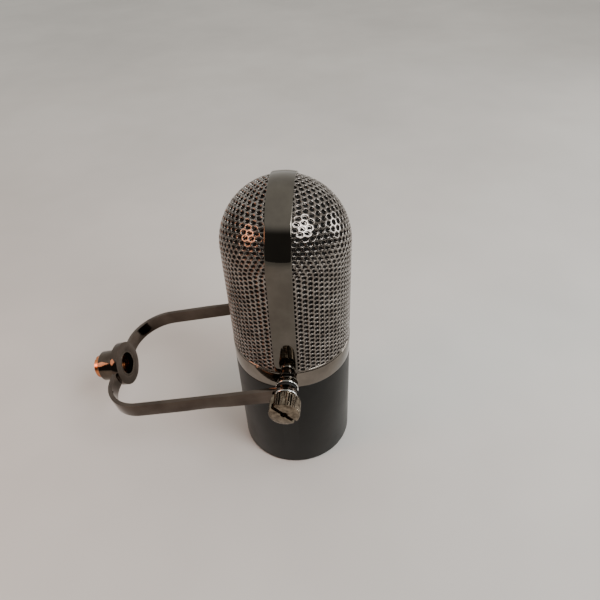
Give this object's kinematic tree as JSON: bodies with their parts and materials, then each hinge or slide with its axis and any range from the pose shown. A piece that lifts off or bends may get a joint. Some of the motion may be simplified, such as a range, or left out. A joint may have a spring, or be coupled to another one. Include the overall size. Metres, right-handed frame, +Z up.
{
  "type": "ribbon microphone",
  "caption": "Pill-shaped side-address ribbon microphone: perforated grille under a polished spine, satin base, and a swivel yoke with thumb screws and a stand thread.",
  "frame": {"origin": "on the body's axis at its flat bottom face, which is also the mouth of the output connector", "axes": "+Z up along the body towards the dome; -Y is the front, where one pivot and one leg of the spine face; the yoke is stored towards -X"},
  "size_m": [0.1781, 0.1194, 0.1991],
  "materials": {
    "base_paint": "satin charcoal lacquer",
    "black_chrome": "polished black chrome",
    "grille_plate": "polished black-nickel perforated sheet",
    "screen_mesh": "woven wire",
    "yoke_steel": "polished black nickel on steel",
    "nickel": "turned and nickel plated",
    "bright_chrome": "bright chrome",
    "rubber": "matt",
    "brass": "turned",
    "copper_adapter": "turned, copper coloured",
    "steel": "zinc plated",
    "aluminium": "milled",
    "zinc": "nickel plated die casting",
    "insert_plastic": "moulded black",
    "phenolic": "machined phenolic sheet",
    "board": "solder masked laminate",
    "gold": "gold plated",
    "magnet": "nickel plated magnet",
    "laminations": "stacked steel laminations",
    "coil_tape": "amber tape over the winding",
    "foil": "bright foil",
    "red_wire": "insulation",
    "pale_wire": "insulation"
  },
  "bodies": {
    "body": {"base_shell": "base_paint", "bottom_plate": "base_paint", "bottom_screws": "steel", "connector_barrel": "zinc", "connector_insert": "insert_plastic", "connector_pins": "gold", "connector_lock_screw": "steel", "lower_pillars": "brass", "circuit_board": "board", "solder_posts": "gold", "upper_pillars": "brass", "deck_plate": "aluminium", "deck_screws": "steel", "trim_band": "black_chrome", "left_grille": "grille_plate", "right_grille": "grille_plate", "spine_strip": "black_chrome", "inner_hoop": "steel", "left_screen": "screen_mesh", "right_screen": "screen_mesh", "pivot_bushes": "steel", "bush_nuts": "steel", "flat_washers": "bright_chrome", "inner_rings": "rubber", "motor_pad": "rubber", "motor_frame": "steel", "motor_screws": "steel", "bar_magnets": "magnet", "pole_pieces": "steel", "ribbon": "foil", "clamp_insulators": "phenolic", "upper_clamp": "brass", "lower_clamp": "brass", "clamp_screws": "steel", "transformer_core": "laminations", "transformer_coil": "coil_tape", "transformer_strap": "aluminium", "strap_screws": "steel", "ribbon_leads": "red_wire", "output_leads": "pale_wire"},
    "yoke": {"yoke_bar": "yoke_steel", "stand_boss": "yoke_steel", "thread_adapter": "copper_adapter"},
    "front_screw_carriage": {"front_outer_ring": "bright_chrome"},
    "front_screw": {"front_thumb_screw": "nickel"},
    "rear_screw_carriage": {"rear_outer_ring": "bright_chrome"},
    "rear_screw": {"rear_thumb_screw": "nickel"}
  },
  "joints": [
    {"name": "yoke_swing", "type": "hinge", "parent": "body", "child": "yoke", "pos_m": [0, 0, 0.0798], "axis": [0, 1, 0], "continuous": true},
    {"name": "front_screw_travel", "type": "slide", "parent": "body", "child": "front_screw_carriage", "axis": [0, -1, 0], "range_m": [0, 0.003]},
    {"name": "front_screw_turn", "type": "hinge", "parent": "front_screw_carriage", "child": "front_screw", "pos_m": [0, 0, 0.0798], "axis": [0, -1, 0], "range_deg": [0, 1080]},
    {"name": "rear_screw_travel", "type": "slide", "parent": "body", "child": "rear_screw_carriage", "axis": [0, 1, 0], "range_m": [0, 0.003]},
    {"name": "rear_screw_turn", "type": "hinge", "parent": "rear_screw_carriage", "child": "rear_screw", "pos_m": [0, 0, 0.0798], "axis": [0, 1, 0], "range_deg": [0, 1080]}
  ],
  "couplings": [
    {"joint": "front_screw_travel", "follows": "front_screw_turn", "m_per_rad": 0.00015915},
    {"joint": "rear_screw_travel", "follows": "rear_screw_turn", "m_per_rad": 0.00015915}
  ]
}
